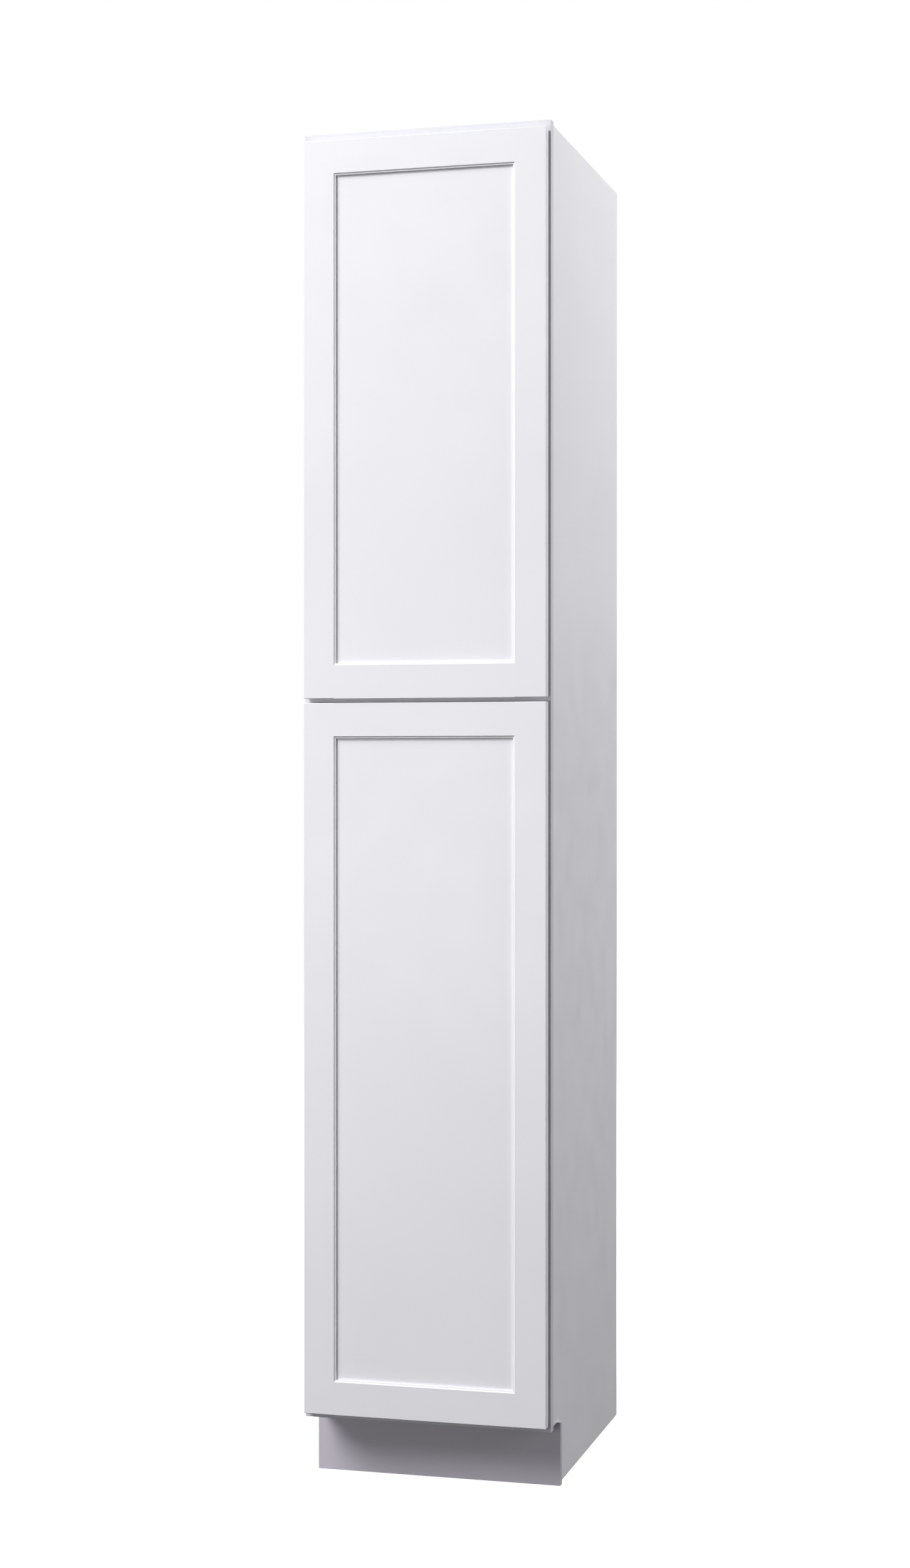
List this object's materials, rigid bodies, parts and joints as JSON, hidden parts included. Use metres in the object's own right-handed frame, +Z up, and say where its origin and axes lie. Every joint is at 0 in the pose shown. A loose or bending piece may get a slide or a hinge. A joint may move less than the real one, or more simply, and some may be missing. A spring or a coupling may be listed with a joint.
{
  "type": "pantry cabinet",
  "caption": "Tall narrow pantry cabinet with a face frame, full-overlay Shaker doors on concealed hinges, adjustable shelves and a recessed toe kick.",
  "frame": {"origin": "on the floor, under the middle of the whole cabinet's width and depth, doors closed", "axes": "+Z up, -Y towards the person at the doors, +X to that person's right"},
  "size_m": [0.4572, 0.6316, 2.4384],
  "materials": {
    "white_paint": "satin white painted wood",
    "white_side": "satin white painted plywood outside, clear birch inside",
    "birch_plywood": "clear satin lacquer",
    "hinge_metal": "nickel plated",
    "pin_metal": "nickel plated",
    "clear_rubber": "soft translucent"
  },
  "bodies": {
    "carcass": {"back_panel": "birch_plywood", "bottom_panel": "birch_plywood", "fixed_shelf": "birch_plywood", "frame_rail_bottom": "white_paint", "frame_rail_middle": "white_paint", "frame_rail_top": "white_paint", "frame_stile_left": "white_paint", "frame_stile_right": "white_paint", "hanging_rail_bottom": "birch_plywood", "hanging_rail_middle": "birch_plywood", "hanging_rail_top": "birch_plywood", "lower_door_hinge_1_base": "hinge_metal", "lower_door_hinge_2_base": "hinge_metal", "lower_door_hinge_3_base": "hinge_metal", "lower_shelf_1": "birch_plywood", "lower_shelf_1_pin_back_left": "pin_metal", "lower_shelf_1_pin_back_right": "pin_metal", "lower_shelf_1_pin_front_left": "pin_metal", "lower_shelf_1_pin_front_right": "pin_metal", "lower_shelf_2": "birch_plywood", "lower_shelf_2_pin_back_left": "pin_metal", "lower_shelf_2_pin_back_right": "pin_metal", "lower_shelf_2_pin_front_left": "pin_metal", "lower_shelf_2_pin_front_right": "pin_metal", "side_panel_left": "white_side", "side_panel_right": "white_side", "toe_kick_board": "white_paint", "top_panel": "birch_plywood", "upper_door_hinge_1_base": "hinge_metal", "upper_door_hinge_2_base": "hinge_metal", "upper_shelf_1": "birch_plywood", "upper_shelf_1_pin_back_left": "pin_metal", "upper_shelf_1_pin_back_right": "pin_metal", "upper_shelf_1_pin_front_left": "pin_metal", "upper_shelf_1_pin_front_right": "pin_metal"},
    "upper_door_links": {"upper_door_hinge_1_link": "hinge_metal", "upper_door_hinge_2_link": "hinge_metal"},
    "upper_door": {"upper_door_bumper_bottom": "clear_rubber", "upper_door_bumper_top": "clear_rubber", "upper_door_free_stile": "white_paint", "upper_door_hinge_1_cup": "hinge_metal", "upper_door_hinge_2_cup": "hinge_metal", "upper_door_hinge_stile": "white_paint", "upper_door_panel": "white_paint", "upper_door_rail_bottom": "white_paint", "upper_door_rail_top": "white_paint"},
    "lower_door_links": {"lower_door_hinge_1_link": "hinge_metal", "lower_door_hinge_2_link": "hinge_metal", "lower_door_hinge_3_link": "hinge_metal"},
    "lower_door": {"lower_door_bumper_bottom": "clear_rubber", "lower_door_bumper_top": "clear_rubber", "lower_door_free_stile": "white_paint", "lower_door_hinge_1_cup": "hinge_metal", "lower_door_hinge_2_cup": "hinge_metal", "lower_door_hinge_3_cup": "hinge_metal", "lower_door_hinge_stile": "white_paint", "lower_door_panel": "white_paint", "lower_door_rail_bottom": "white_paint", "lower_door_rail_top": "white_paint"}
  },
  "joints": [
    {"name": "upper_door_link_swing", "type": "hinge", "parent": "carcass", "child": "upper_door_links", "pos_m": [-0.1825, -0.29228, 1.9], "axis": [0, 0, 1], "range_deg": [0, 41.25]},
    {"name": "upper_door_swing", "type": "hinge", "parent": "upper_door_links", "child": "upper_door", "pos_m": [-0.2106, -0.30178, 1.9], "axis": [0, 0, 1], "range_deg": [-146.24, 0]},
    {"name": "lower_door_link_swing", "type": "hinge", "parent": "carcass", "child": "lower_door_links", "pos_m": [-0.1825, -0.29228, 0.76], "axis": [0, 0, 1], "range_deg": [0, 41.25]},
    {"name": "lower_door_swing", "type": "hinge", "parent": "lower_door_links", "child": "lower_door", "pos_m": [-0.2106, -0.30178, 0.76], "axis": [0, 0, 1], "range_deg": [-146.24, 0]}
  ],
  "couplings": [
    {"joint": "upper_door_link_swing", "follows": "upper_door_swing", "ratio": -0.282},
    {"joint": "lower_door_link_swing", "follows": "lower_door_swing", "ratio": -0.282}
  ]
}
